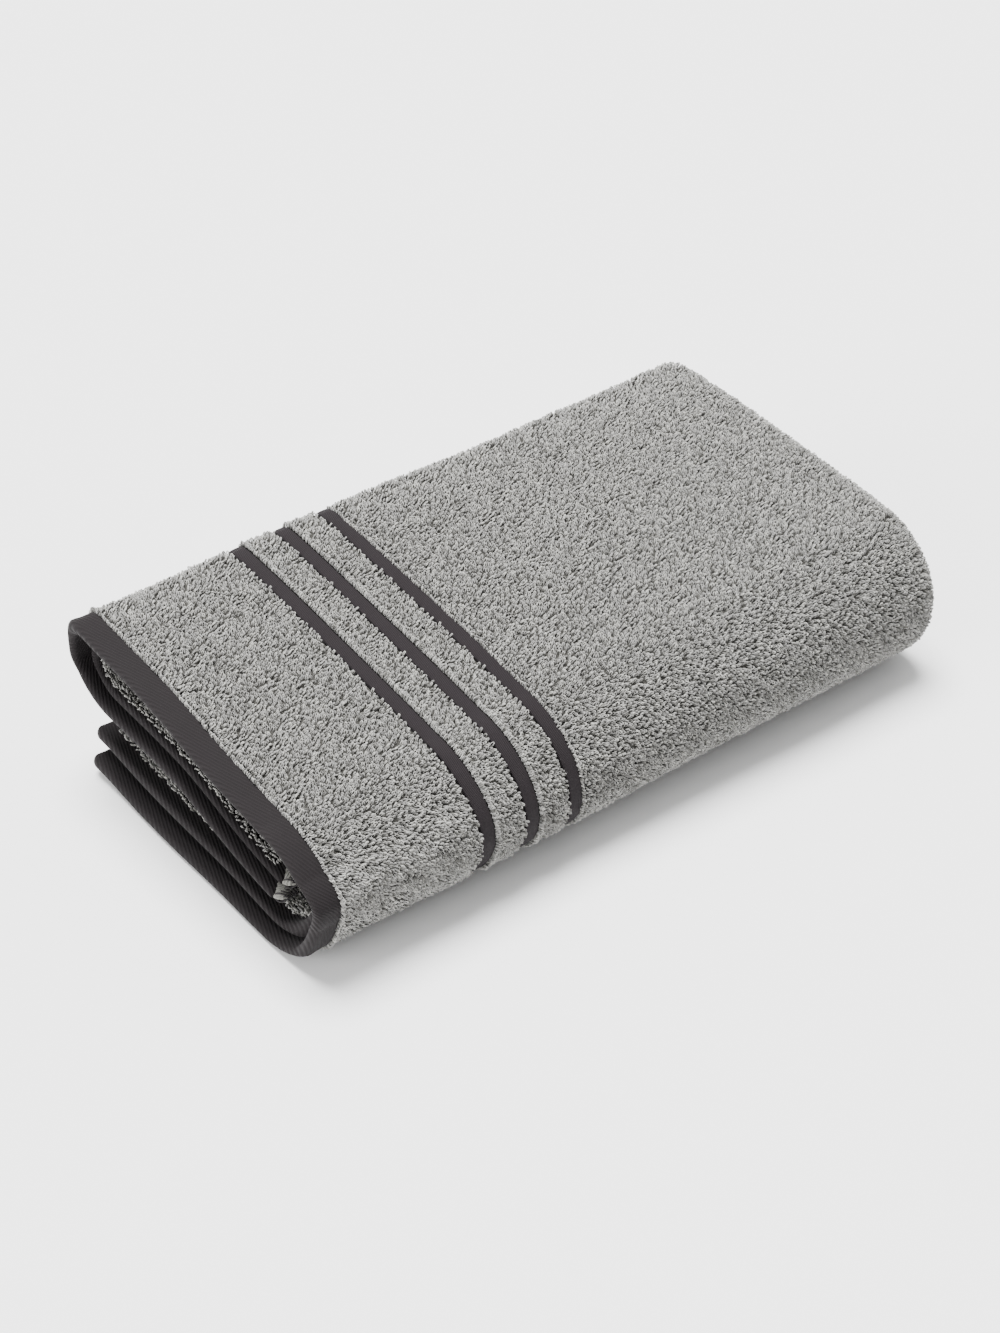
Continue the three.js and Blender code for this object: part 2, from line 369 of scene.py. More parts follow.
def shape():
    return bpy.context.scene.towel_shape


def colours():
    return bpy.context.scene.towel_colours


def pile():
    return bpy.context.scene.towel_pile


# ---------------------------------------------------------------- the folded cloth's surface

def smooth(value):
    """A smooth step from 0 to 1 as value goes from 0 to 1."""
    value = np.clip(value, 0, 1)
    return value * value * (3 - 2 * value)


def waves(kinds, first, second, mean=0):
    """A sum of sine waves over two coordinates, on top of a mean."""
    return sum((share * np.sin(first * a + second * b + start) for share, a, b, start in kinds), mean)


def path_frame(s):
    """The outer face at arc lengths s: its Y and Z, and the Y and Z of the way into the cloth."""
    y = np.zeros_like(s)
    z = np.zeros_like(s)
    into_y = np.zeros_like(s)
    into_z = np.zeros_like(s)
    start = 0.0
    for index, piece in enumerate(PATH):
        end = start + piece["length"]
        lower = -np.inf if index == 0 else start
        upper = np.inf if index == len(PATH) - 1 else end
        here = (s >= lower) & (s < upper)
        left = s[here] - start
        if "radius" in piece:
            angle = piece["start"] - left / piece["radius"]
            y[here] = piece["centre"][0] + piece["radius"] * np.cos(angle)
            z[here] = piece["centre"][1] + piece["radius"] * np.sin(angle)
            into_y[here] = -np.cos(angle)
            into_z[here] = -np.sin(angle)
        else:
            y[here] = piece["start"][0] + piece["way"] * left
            z[here] = piece["start"][1]
            into_z[here] = -piece["way"]
        start = end
    return y, z, into_y, into_z


def square_corner(y, z, power):
    """Fills out the top corner of the back fold, which is a circle's quarter before."""
    centre = HEIGHT - BACK_RADIUS
    across = np.clip(y - BACK_CENTRE, 0, None)
    above = np.clip(z - centre, 0, None)
    reach = np.hypot(across, above) + 1e-9
    growth = ((across / reach) ** power + (above / reach) ** power + 1e-12) ** (-1 / power)
    growth = np.where((across > 0) & (above > 0), growth, 1)
    return y + across * (growth - 1), z + above * (growth - 1)


def place(x, s, depth):
    """World positions of cloth points: x along X, s along the fold path, depth into the cloth."""
    x, s, depth = np.broadcast_arrays(*(np.asarray(v, float) for v in (x, s, depth)))
    settings = shape()
    y, z, into_y, into_z = path_frame(s)
    from_hem = x - HEM_END
    fullness = settings.hem_corner_power + (settings.corner_power - settings.hem_corner_power) * smooth(
        from_hem / (STRIPES_END - HEM_END))
    y, z = square_corner(y + into_y * depth, z + into_z * depth, fullness)

    # At the hem end the layers don't end flush: the inner half stops short of the outer half,
    # most of all in the top third, and the middle third stops short of the bottom one.
    in_bottom = 1 - smooth((s - BOTTOM_LENGTH + FRONT_BLEND / 2) / FRONT_BLEND)
    in_top = smooth((s - BOTTOM_LENGTH) / FRONT_BLEND) * smooth((MIDDLE_START - s) / BACK_BLEND)
    in_middle = smooth((s - MIDDLE_START + MIDDLE_BLEND) / MIDDLE_BLEND)
    inner = smooth((depth - PLY) / PLY_GAP)
    short = settings.low_setback + (settings.top_setback - settings.low_setback) * in_top
    short = short * inner + settings.middle_setback * in_middle
    x = x + short * np.clip(1 - from_hem / SETBACK_REACH, 0, 1)

    # Towards the hem end the middle third springs up into the gap above it, all but its free
    # edge, the inner half lifts off the outer half in the bottom third, and the lower edge curls.
    opening = smooth(1 - from_hem / (STRIPES_END - HEM_END))
    heights = np.array([0, 2 * PLY_PITCH, THIRD, THIRD + 2 * PLY_PITCH, HEIGHT - 2 * PLY_PITCH])
    free_edge = smooth((s - PATH_LENGTH + FREE_EDGE_REACH) / FREE_EDGE_REACH)
    lift = settings.middle_lift * np.interp(z, heights, LIFT_SHARES) * (1 - FREE_EDGE_DROP * free_edge)
    curl = CURL * smooth(1 - s / CURL_REACH)
    z = z + (lift + curl + settings.inner_lift * inner * in_bottom) * opening
    y = y + (settings.inner_lift * INNER_SHIFT * inner * in_bottom - FREE_EDGE_DRAW * free_edge) * opening

    # The cloth's free corners are rounded at the hem, and the fold end is pulled in a little.
    corner = np.clip(1 - np.minimum(s, PATH_LENGTH - s) / CORNER_RADIUS, 0, 1)
    rounding = CORNER_RADIUS * (1 - np.sqrt(1 - corner ** 2))
    x = x + rounding * np.clip(1 - from_hem / CORNER_REACH, 0, 1)
    x = x - FOLD_END_DRAW * smooth((x - FOLD_END + FOLD_END_REACH) / FOLD_END_REACH)

    # The front fold is pressed flatter than the back fold, and the top third swells.
    along = np.clip((y - FRONT_CENTRE) / (HIGH.y - FRONT_CENTRE), 0, 1)
    far = np.clip(from_hem / (FOLD_END - HEM_END), 0, 1)
    settle = settings.settle_at_hem + (settings.settle_at_fold - settings.settle_at_hem) * far
    z = z * (settle + (settings.back_share - settle) * along)
    across = np.clip((y - LOW.y) / (HIGH.y - LOW.y), 0, 1)
    z = z + settings.top_bulge * np.sin(math.pi * across) * np.clip(z / HEIGHT, 0, 1) ** BULGE_POWER

    # Slow ripples, which leave the underside flat on the floor, and hems that aren't quite straight.
    ripple = settings.ripple
    z = z + 0.5 * ripple * waves(UP_WAVES, x, y) * smooth(z / RIPPLE_CLEARANCE)
    y = y + 0.5 * ripple * waves(SIDE_WAVES, x, z)
    edge = np.clip(1 - from_hem / RAGGED_REACH, 0, 1)
    x = x + 0.8 * ripple * edge * waves(RAGGED_WAVES, s, 0, RAGGED_MEAN)
    return np.stack([x, y, z], axis=-1)


# ---------------------------------------------------------------- meshes

def make_mesh(name, points, faces, materials, uv=None, face_material=None):
    """An object from a point array and a list of equal-sided face arrays, smooth shaded."""
    mesh = bpy.data.meshes.new(name)
    points = np.ascontiguousarray(points.reshape(-1, 3), np.float32)
    loops = np.concatenate([f.reshape(-1) for f in faces]).astype(np.int32)
    sizes = np.concatenate([np.full(len(f), f.shape[1]) for f in faces]).astype(np.int32)
    starts = np.concatenate([[0], np.cumsum(sizes)[:-1]]).astype(np.int32)
    mesh.vertices.add(len(points))
    mesh.vertices.foreach_set("co", points.reshape(-1))
    mesh.loops.add(len(loops))
    mesh.loops.foreach_set("vertex_index", loops)
    mesh.polygons.add(len(sizes))
    mesh.polygons.foreach_set("loop_start", starts)
    mesh.polygons.foreach_set("loop_total", sizes)
    mesh.polygons.foreach_set("use_smooth", np.ones(len(sizes), bool))
    for material in materials:
        mesh.materials.append(material)
    if face_material is not None:
        mesh.polygons.foreach_set("material_index", face_material.astype(np.int32))
    if uv is not None:
        layer = mesh.uv_layers.new(name="cloth")
        layer.data.foreach_set("uv", uv[loops].astype(np.float32).reshape(-1))
    mesh.update(calc_edges=True)
    mesh.validate()
    piece = bpy.data.objects.new(name, mesh)
    bpy.context.scene.collection.objects.link(piece)
    return piece


def settle_in(piece, slot, *nodes):
    """The piece rides on the towel's one body and stands for its CAD nodes."""
    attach(piece, BODY)
    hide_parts(*nodes)
    return piece


def grid_faces(rows, columns, start=0):
    """Quads of a grid whose points are numbered row by row."""
    row, column = np.meshgrid(np.arange(rows - 1), np.arange(columns - 1), indexing="ij")
    corner = (start + row * columns + column).reshape(-1)
    return np.stack([corner, corner + 1, corner + columns + 1, corner + columns], axis=1)


def rounded_samples(start, end, step, radius):
    """Positions from start to end, closer together in the rounded edges, and each one's share of
    the thickness. The first angle is above 0, so that the rim has a narrow face of its own."""
    turn = np.linspace(0.12, math.pi / 2, 6)[:-1]
    edge = radius * (1 - np.cos(turn))
    count = max(2, int(round((end - start - 2 * radius) / step)) + 1)
    middle = np.linspace(start + radius, end - radius, count)
    positions = np.concatenate([start + edge, middle, (end - edge)[::-1]])
    share = np.concatenate([np.sin(turn), np.ones(count), np.sin(turn)[::-1]])
    return positions, share


def cloth_piece(name, line, half, s_from, s_to, s_step, material, crown=None):
    """A closed piece of cloth: a centre line in x and depth, with half its thickness at each
    point, carried along the fold path. crown lifts the two faces apart at each point."""
    tangent = np.gradient(line, axis=0)
    tangent /= np.linalg.norm(tangent, axis=1, keepdims=True)
    normal = np.stack([tangent[:, 1], -tangent[:, 0]], axis=1)
    radius = float(half.max())
    s, share = rounded_samples(s_from, s_to, s_step, radius)
    thickness = half if crown is None else half + crown
    reach = share[:, None] * thickness[None, :]
    faces = []
    for side in (1, -1):
        x = line[:, 0][None, :] + side * normal[:, 0][None, :] * reach
        depth = line[:, 1][None, :] + side * normal[:, 1][None, :] * reach
        faces.append(place(x, s[:, None], depth))
    rows, columns = len(s), len(line)
    count = rows * columns
    points = np.concatenate([faces[0].reshape(-1, 3), faces[1].reshape(-1, 3)])
    top = grid_faces(rows, columns)
    bottom = grid_faces(rows, columns, count)[:, ::-1]
    near = np.arange(rows - 1) * columns
    far = near + columns - 1
    first = np.arange(columns - 1)
    last = first + (rows - 1) * columns
    sides = [
        np.stack([near, near + columns, near + columns + count, near + count], axis=1),
        np.stack([far, far + count, far + columns + count, far + columns], axis=1),
        np.stack([first, first + count, first + 1 + count, first + 1], axis=1),
        np.stack([last, last + 1, last + 1 + count, last + count], axis=1),
    ]
    quads = np.concatenate([top, bottom, *sides])
    along = distances(line)
    grid = np.stack(np.broadcast_arrays(along[None, :], s[:, None]), axis=-1).reshape(-1, 2)
    uv = np.concatenate([grid, grid])
    if signed_volume(points, quads) < 0:
        quads = quads[:, ::-1]
    return make_mesh(name, points, [quads], [material], uv)


def signed_volume(points, quads):
    """Six times the volume inside a closed mesh of quads: above 0 if its faces point out."""
    a, b, c, d = (points[quads[:, i]] for i in range(4))
    one = np.einsum("ij,ij->i", a, np.cross(b, c))
    two = np.einsum("ij,ij->i", a, np.cross(c, d))
    return float((one + two).sum())


def layer_middle(layer):
    """Depth of the middle of one layer of cloth."""
    return layer * PLY_PITCH + PLY / 2


def strip(node, layer, sink, step, crown, material):
    """A flat strip of one layer that fills its CAD node's room along X."""
    low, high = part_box(node)
    half_ply = PLY / 2 - sink
    x, share = rounded_samples(low.x, high.x, step, EDGE_ROUNDING)
    line = np.stack([x, np.full(len(x), layer_middle(layer))], axis=1)
    swell = crown * np.sin(math.pi * (x - low.x) / (high.x - low.x))
    return cloth_piece(
        f"{node}_cloth", line, half_ply * share, TERRY_FROM, TERRY_TO, STRIP_ROWS, material, swell * share)


def arc(x, depth, radius, towards, down, step):
    """Points of a half turn about (x, depth), from its near side to its far side."""
    count = max(5, int(round(math.pi * radius / step)))
    angle = np.linspace(0, math.pi, count + 1)
    return np.stack([x + towards * radius * np.sin(angle), depth - down * radius * np.cos(angle)], axis=1)


def hook_line(x_from, step):
    """The centre line of both halves joined through the tucked end: outer half, fold end,
    tucked layer, its turn, tucked layer, fold end, inner half."""
    tuck_turn = PLY_PITCH - PLY_GAP / 2
    tuck = STRIPES_END + TUCK_GAP + tuck_turn
    tuck_depth = 3 * PLY_PITCH - PLY_GAP / 2
    wide = TURN - PLY / 2
    tight = tuck_turn - PLY / 2
    first = straight_line(x_from, BEND, PLY / 2, step)
    turned = arc(BEND, TURN, wide, 1, 1, step)
    back = straight_line(BEND, tuck, TURN + wide, step)
    inside = arc(tuck, tuck_depth, tight, -1, -1, step)
    out = straight_line(tuck, BEND, tuck_depth - tight, step)
    again = arc(BEND, TURN, tight, 1, -1, step)
    final = straight_line(BEND, x_from, PLY_PITCH + PLY / 2, step)
    return np.concatenate([first, turned[1:], back[1:], inside[1:], out[1:], again[1:], final[1:]])


def straight_line(start, end, depth, step):
    """Points in x and depth at one depth, about a step apart."""
    count = max(2, int(round(abs(end - start) / step)) + 1)
    return np.stack([np.linspace(start, end, count), np.full(count, depth)], axis=1)


def tapered(line, half):
    """Half thickness along a centre line, with both of its ends rounded off."""
    along = distances(line)
    end = np.minimum(along, along[-1] - along)
    inside = np.clip(end / half, 0.02, 1)
    return half * np.sqrt(1 - (1 - inside) ** 2)


def distances(line):
    """How far along a line each of its points is."""
    return np.concatenate([[0], np.cumsum(np.linalg.norm(np.diff(line, axis=0), axis=1))])


# ---------------------------------------------------------------- materials

def add_node(tree, kind, settings=None, **inputs):
    """Adds a node, sets its properties, and gives each named input a value or a link."""
    node = tree.nodes.new(kind)
    for name, value in (settings or {}).items():
        setattr(node, name, value)
    for name, value in inputs.items():
        socket = node.inputs[name.replace("_", " ")]
        if isinstance(value, bpy.types.NodeSocket):
            tree.links.new(value, socket)
        else:
            socket.default_value = value
    return node


def start_material(name):
    """An empty node material and its tree."""
    material = bpy.data.materials.new(name)
    material.use_nodes = True
    material.node_tree.nodes.clear()
    return material, material.node_tree


def finish_material(tree, **inputs):
    """The shader and the output. Uniform values sit on the shader's own sockets."""
    shader = add_node(tree, "ShaderNodeBsdfPrincipled", None, **inputs)
    add_node(tree, "ShaderNodeOutputMaterial", None, Surface=shader.outputs["BSDF"])


def opaque(colour):
    return (*colour, 1.0)


def shaded(colour, share):
    """A colour made lighter or darker by a share."""
    return (*(min(1.0, c * share) for c in colour), 1.0)


def cotton_loop_material(name, colour):
    """Cotton terry yarn, two-ply and soft spun. The eye sees a matt loop with a pale bloom where
    its fibres catch the light; the grain comes from the loops and their three shades."""
    material, tree = start_material(name)
    finish_material(
        tree, Base_Color=opaque(colour), Roughness=0.92, Specular_IOR_Level=0.2, IOR=1.53,
        Sheen_Weight=0.35, Sheen_Roughness=0.5)
    return material


def woven_ground_material(name, colour):
    """Plain-woven cotton ground of the terry, drawn darker than the loops as painted shade between
    them. The eye sees a dull, uneven grey between the loops, with a thread every 0.7 mm each way."""
    material, tree = start_material(name)
    coords = add_node(tree, "ShaderNodeUVMap", {"uv_map": "cloth"})
    warp = add_node(
        tree, "ShaderNodeTexWave", {"wave_type": "BANDS", "bands_direction": "X"},
        Vector=coords.outputs["UV"], Scale=wave_scale(0.7), Distortion=1.5, Detail=1.0)
    weft = add_node(
        tree, "ShaderNodeTexWave", {"wave_type": "BANDS", "bands_direction": "Y"},
        Vector=coords.outputs["UV"], Scale=wave_scale(0.7), Distortion=1.5, Detail=1.0)
    weave = add_node(tree, "ShaderNodeMath", {"operation": "MAXIMUM"})
    tree.links.new(warp.outputs["Fac"], weave.inputs[0])
    tree.links.new(weft.outputs["Fac"], weave.inputs[1])
    mottle = add_node(
        tree, "ShaderNodeTexNoise", None, Vector=coords.outputs["UV"], Scale=1 / (4 * MM), Detail=3.0)
    ramp = add_node(tree, "ShaderNodeValToRGB", None, Fac=mottle.outputs["Fac"])
    ramp.color_ramp.elements[0].color = shaded(colour, 0.75)
    ramp.color_ramp.elements[1].color = shaded(colour, 1.15)
    bump = add_node(
        tree, "ShaderNodeBump", None, Strength=0.6, Distance=0.2 * MM, Height=weave.outputs["Value"])
    finish_material(
        tree, Base_Color=ramp.outputs["Color"], Roughness=0.95, Specular_IOR_Level=0.15,
        Normal=bump.outputs["Normal"])
    return material


def wave_scale(period):
    """The Wave texture's scale for one band every period millimetres of its coordinates."""
    return 2 * math.pi / 20 / (period * MM)


def twill_material(name, colour, pitch, slope, strength):
    """Cotton twill tape, woven with a diagonal rib. The eye sees fine slanting ridges with a
    soft edge light, and a slow change of shade from handling; the ridges are painted lighter and their
    grooves darker, as painted shade on top of the bump. pitch is in millimetres."""
    material, tree = start_material(name)
    coords = add_node(tree, "ShaderNodeUVMap", {"uv_map": "cloth"})
    turned = add_node(
        tree, "ShaderNodeMapping", None, Vector=coords.outputs["UV"], Rotation=(0, 0, slope))
    rib = add_node(
        tree, "ShaderNodeTexWave", {"wave_type": "BANDS", "bands_direction": "X"},
        Vector=turned.outputs["Vector"], Scale=wave_scale(pitch), Distortion=0.6, Detail=1.0,
        Detail_Scale=2.0)
    thread = add_node(
        tree, "ShaderNodeTexNoise", None, Vector=coords.outputs["UV"], Scale=1 / (0.5 * MM), Detail=2.0)
    height = add_node(tree, "ShaderNodeMix", {"data_type": "FLOAT"}, Factor=0.3)
    tree.links.new(rib.outputs["Fac"], height.inputs["A"])
    tree.links.new(thread.outputs["Fac"], height.inputs["B"])
    shade = add_node(
        tree, "ShaderNodeTexNoise", None, Vector=coords.outputs["UV"], Scale=1 / (9 * MM), Detail=2.0)
    tone = add_node(tree, "ShaderNodeMix", {"data_type": "FLOAT"}, Factor=0.35)
    tree.links.new(height.outputs["Result"], tone.inputs["A"])
    tree.links.new(shade.outputs["Fac"], tone.inputs["B"])
    # Painted shade: the colour follows the rib's height, so the grooves are painted darker and the ridges
    # lighter.
    ramp = add_node(tree, "ShaderNodeValToRGB", None, Fac=tone.outputs["Result"])
    ramp.color_ramp.elements[0].position = 0.25
    ramp.color_ramp.elements[0].color = shaded(colour, 0.86)
    ramp.color_ramp.elements[1].position = 0.75
    ramp.color_ramp.elements[1].color = shaded(colour, 1.16)
    bump = add_node(
        tree, "ShaderNodeBump", None, Strength=strength, Distance=0.4 * MM, Height=height.outputs["Result"])
    finish_material(
        tree, Base_Color=ramp.outputs["Color"], Roughness=0.85, Specular_IOR_Level=0.14,
        Sheen_Weight=0.05, Sheen_Roughness=0.4, Normal=bump.outputs["Normal"])
    return material


def thread_material(name, colour):
    """Twisted sewing thread. The eye sees a slight gloss broken by the twist, drawn at 0.5 mm so
    that it shows; the twist's grooves are painted darker and its ridges lighter, as painted shade."""
    material, tree = start_material(name)
    coords = add_node(tree, "ShaderNodeTexCoord")
    twist = add_node(
        tree, "ShaderNodeTexWave", {"wave_type": "BANDS", "bands_direction": "DIAGONAL"},
        Vector=coords.outputs["Object"], Scale=wave_scale(0.5), Distortion=0.5)
    # Painted shade: the colour follows the twist's height, so its grooves are painted darker and its ridges
    # lighter.
    ramp = add_node(tree, "ShaderNodeValToRGB", None, Fac=twist.outputs["Fac"])
    ramp.color_ramp.elements[0].color = shaded(colour, 0.8)
    ramp.color_ramp.elements[1].color = shaded(colour, 1.2)
    bump = add_node(
        tree, "ShaderNodeBump", None, Strength=0.5, Distance=0.1 * MM, Height=twist.outputs["Fac"])
    finish_material(
        tree, Base_Color=ramp.outputs["Color"], Roughness=0.6, Specular_IOR_Level=0.35,
        Normal=bump.outputs["Normal"])
    return material


def floor_material(name, colour):
    """Matt painted studio board. The eye sees an even white that takes only a soft shadow."""
    material, tree = start_material(name)
    coords = add_node(tree, "ShaderNodeTexCoord")
    grain = add_node(
        tree, "ShaderNodeTexNoise", None, Vector=coords.outputs["Object"], Scale=400.0, Detail=2.0)
    bump = add_node(
        tree, "ShaderNodeBump", None, Strength=0.02, Distance=0.1 * MM, Height=grain.outputs["Fac"])
    finish_material(
        tree, Base_Color=opaque(colour), Roughness=0.9, Specular_IOR_Level=0.1,
        Normal=bump.outputs["Normal"])
    return material


def shared(name, maker, *details):
    """The material of that name, made the first time that it is asked for."""
    return bpy.data.materials.get(name) or maker(name, *details)


# Painted shade: this material's darker grey stands for the shadow between the loops.
def ground():
    return shared("terry_ground_plain_woven", woven_ground_material, colours().ground)


def hem_twill():
    """The tape's rib is finer than this. It is drawn at 1.3 mm so that it shows."""
    return shared("hem_twill_tape", twill_material, colours().hem, 1.3, math.radians(-22), 0.7)


def stripe_twill():
    return shared("stripe_flat_woven", twill_material, colours().stripe, 0.6, math.radians(60), 0.6)


def side_twill():
    """The cloth's threads are finer than this. They are drawn at 1 mm so that they show."""
    return shared("side_hem_folded_cotton", twill_material, colours().side_hem, 1.0, math.radians(70), 1.0)


def dark_thread():
    return shared("hem_thread_twisted", thread_material, colours().dark_thread)


def light_thread():
    return shared("side_thread_twisted", thread_material, colours().light_thread)


def loop_shades():
    """The three shades of pile yarn."""
    return [
        shared("terry_loop_mid", cotton_loop_material, colours().loop_mid),
        shared("terry_loop_light", cotton_loop_material, colours().loop_light),
        shared("terry_loop_dark", cotton_loop_material, colours().loop_dark),
    ]


# ---------------------------------------------------------------- yarn and thread

def tubes(lines, side, radius, sides):
    """Closed tubes along many lines of equal length. lines is (count, points, 3), side is a
    direction across each line, and radius is a number for each point. Returns points, quads, caps."""
    count, steps, _ = lines.shape
    tangent = np.gradient(lines, axis=1)
    tangent /= np.linalg.norm(tangent, axis=2, keepdims=True) + 1e-12
    across = np.broadcast_to(side, lines.shape)
    across = across - tangent * np.sum(across * tangent, axis=2, keepdims=True)
    across = across / (np.linalg.norm(across, axis=2, keepdims=True) + 1e-12)
    other = np.cross(tangent, across)
    angle = np.arange(sides) * 2 * math.pi / sides
    ring = (across[:, :, None, :] * np.cos(angle)[None, None, :, None]
            + other[:, :, None, :] * np.sin(angle)[None, None, :, None])
    points = lines[:, :, None, :] + ring * np.broadcast_to(radius, (count, steps))[:, :, None, None]
    step, corner = np.meshgrid(np.arange(steps - 1), np.arange(sides), indexing="ij")
    following = (corner + 1) % sides
    quad = np.stack([step * sides + corner, step * sides + following,
                     (step + 1) * sides + following, (step + 1) * sides + corner], axis=-1).reshape(-1, 4)
    first = np.arange(sides)[::-1]
    last = np.arange(sides) + (steps - 1) * sides
    offset = (np.arange(count) * steps * sides)[:, None, None]
    quads = (quad[None] + offset).reshape(-1, 4)
    caps = (np.stack([first, last])[None] + offset).reshape(-1, sides)
    return points.reshape(-1, 3), quads, caps


def unit(vectors):
    """The same directions, each one long."""
    return vectors / (np.linalg.norm(vectors, axis=-1, keepdims=True) + 1e-12)


def face_axes(x, s, depth, normal, tangent):
    """Positions on a face of the cloth, the way out of it, and two ways along it."""
    nudge = 0.2 * MM
    base = place(x, s, depth)
    out = unit(place(x + normal[0] * nudge, s, depth + normal[1] * nudge) - base)
    along = unit(place(x + tangent[0] * nudge, s, depth + tangent[1] * nudge) - base)
    along = unit(along - out * np.sum(out * along, axis=-1, keepdims=True))
    return base, out, along, np.cross(out, along)


def scatter(rng, t_from, t_to, s_from, s_to, pitch):
    """Jittered, staggered positions over a rectangle."""
    columns = max(1, int(round((t_to - t_from) / pitch)))
    rows = max(1, int(round((s_to - s_from) / pitch)))
    column, row = np.meshgrid(np.arange(columns), np.arange(rows), indexing="xy")
    shift = 0.5 * (row % 2)
    t = t_from + (t_to - t_from) * (column + 0.25 + shift) / (columns + 0.5)
    s = s_from + (s_to - s_from) * (row + 0.5) / rows
    t = (t + rng.uniform(-JITTER, JITTER, t.shape) * pitch).reshape(-1)
    s = (s + rng.uniform(-JITTER, JITTER, s.shape) * pitch).reshape(-1)
    return np.clip(t, t_from, t_to), np.clip(s, s_from, s_to)


def loop_roots(rng, length, dense_edge, pitch):
    """Where loops stand, as distances along the piece's centre line and along the fold path. A
    dense edge is one more row, close set, where the piece meets a hem or a stripe."""
    t, s = scatter(rng, PILE_MARGIN, length - PILE_MARGIN, TERRY_FROM, TERRY_TO, pitch)
    if dense_edge:
        row = np.arange(TERRY_FROM, TERRY_TO, EDGE_PITCH)
        t = np.concatenate([t, PILE_MARGIN + rng.uniform(0, EDGE_DEPTH, len(row))])
        s = np.concatenate([s, row + rng.uniform(-ROW_JITTER, ROW_JITTER, len(row)) * EDGE_PITCH])
    return t, s


def loop_lines(rng, x, s, t, axes, outer):
    """The centre line of each loop: up from one leg, over and down to the other. Loops lean in
    clumps, mostly away from the hem on an outer face and towards it on an inner one."""
    settings = pile()
    base, out, forward, sideways = axes
    count = len(s)
    turn = rng.normal(0, LOOP_TURN, count) + CLUMPING * waves(CLUMP_WAVES, x, s) + (0 if outer else math.pi)
    lean = forward * np.cos(turn)[:, None] + sideways * np.sin(turn)[:, None]
    width = np.cross(out, lean)
    tall = 1 + 0.1 * np.sin(s * 470 + x * 130) * np.sin(x * 420 - s * 90)
    height = settings.height * tall * rng.uniform(*HEIGHT_RANGE, count)
    reach = settings.lean * rng.uniform(*LEAN_RANGE, count)
    if outer:
        reach = reach * (EDGE_LEAN + (1 - EDGE_LEAN) * smooth(t / EDGE_EASE))
    half = settings.half_width * rng.uniform(*WIDTH_RANGE, count)

    # A loop rises steeply, leans most at its top, and is widest a little above its legs.
    u = np.linspace(0, 1, LOOP_POINTS)
    rise = np.sin(math.pi * u) ** 0.75
    throw = np.sin(math.pi * u) ** 1.3
    spread = -np.cos(math.pi * u) * (0.35 + 0.65 * np.sin(math.pi * u)) * 1.6
    lines = (base[:, None, :]
             + out[:, None, :] * (height[:, None] * rise - LOOP_ROOT)[:, :, None]
             + lean[:, None, :] * (reach[:, None] * throw)[:, :, None]
             + width[:, None, :] * (half[:, None] * spread)[:, :, None])
    lines[:, :, 2] = np.maximum(lines[:, :, 2], FLOOR_CLEARANCE * settings.yarn)
    return lines


def pile_on(name, rng, line, offset, side, node, pitch=None, keep=None):
    """Loops standing on one face of a cloth piece. line is the piece's centre line, offset is
    half its thickness, and side is 1 for its outer face or -1 for its inner face. The loops are
    shared out over several pieces, which keeps every mesh light enough to handle."""
    along = distances(line)
    t, s = loop_roots(rng, along[-1], side > 0, pitch or pile().pitch)
    if keep is not None:
        kept = keep(np.interp(t, along, line[:, 0]), s)
        t, s = t[kept], s[kept]
    x, depth = (np.interp(t, along, line[:, axis]) for axis in (0, 1))
    tangent = unit(np.gradient(line, axis=0))
    tx, td = (np.interp(t, along, tangent[:, axis]) for axis in (0, 1))
    nx, nd = side * td, -side * tx
    axes = face_axes(x + nx * offset, s, depth + nd * offset, (nx, nd), (tx, td))
    lines = loop_lines(rng, x, s, t, axes, side > 0)
    out = axes[1]
    count = len(t)
    radius = pile().yarn * rng.uniform(*YARN_RANGE, count)[:, None]
    shade = rng.choice(len(SHADE_SHARES), count, p=SHADE_SHARES)
    for index, start in enumerate(range(0, count, LOOPS_PER_PIECE)):
        chosen = slice(start, min(start + LOOPS_PER_PIECE, count))
        points, quads, caps = tubes(lines[chosen], out[chosen][:, None, :], radius[chosen], LOOP_SIDES)
        slots = np.concatenate([
            np.repeat(shade[chosen], LOOP_SIDES * (LOOP_POINTS - 1)), np.repeat(shade[chosen], 2)])
        piece = make_mesh(f"{name}_{index + 1}", points, [quads, caps], loop_shades(), None, slots)
        settle_in(piece, "terry", node)


def stitches(name, x, s, depth, normal, tangent, along_s, material):
    """A row of stitches: short threads that rise out of the cloth and dive back into it."""
    base, out, forward, sideways = face_axes(x, s, depth, normal, tangent)
    way = sideways if along_s else forward
    u = np.linspace(-1, 1, STITCH_POINTS)
    rise = np.sqrt(np.clip(1 - u * u, 0, 1)) * STITCH_RISE - STITCH_DIP
    lines = (base[:, None, :]
             + way[:, None, :] * (u * STITCH_LENGTH / 2)[None, :, None]
             + out[:, None, :] * (rise * THREAD_RADIUS)[None, :, None])
    points, quads, caps = tubes(lines, out[:, None, :], THREAD_RADIUS, STITCH_SIDES)
    return make_mesh(name, points, [quads, caps], [material])


# ---------------------------------------------------------------- the pieces

def half_nodes(half):
    """The terry nodes of one half that come before the plain field."""
    return [f"terry_border_{half}", f"terry_band_1_{half}", f"terry_band_2_{half}"]


class TOWEL_OT_terry_bands(bpy.types.Operator):
    """Make the ground cloth of the border and of the bands between the stripes"""
    bl_idname = "towel.terry_bands"
    bl_label = "Terry Bands"

    def execute(self, context):
        for half, layer in HALVES.items():
            for node in half_nodes(half):
                piece = strip(node, layer, pile().ground_sink, BAND_STEP, BAND_CROWN, ground())
                settle_in(piece, "terry", node)
        return {"FINISHED"}


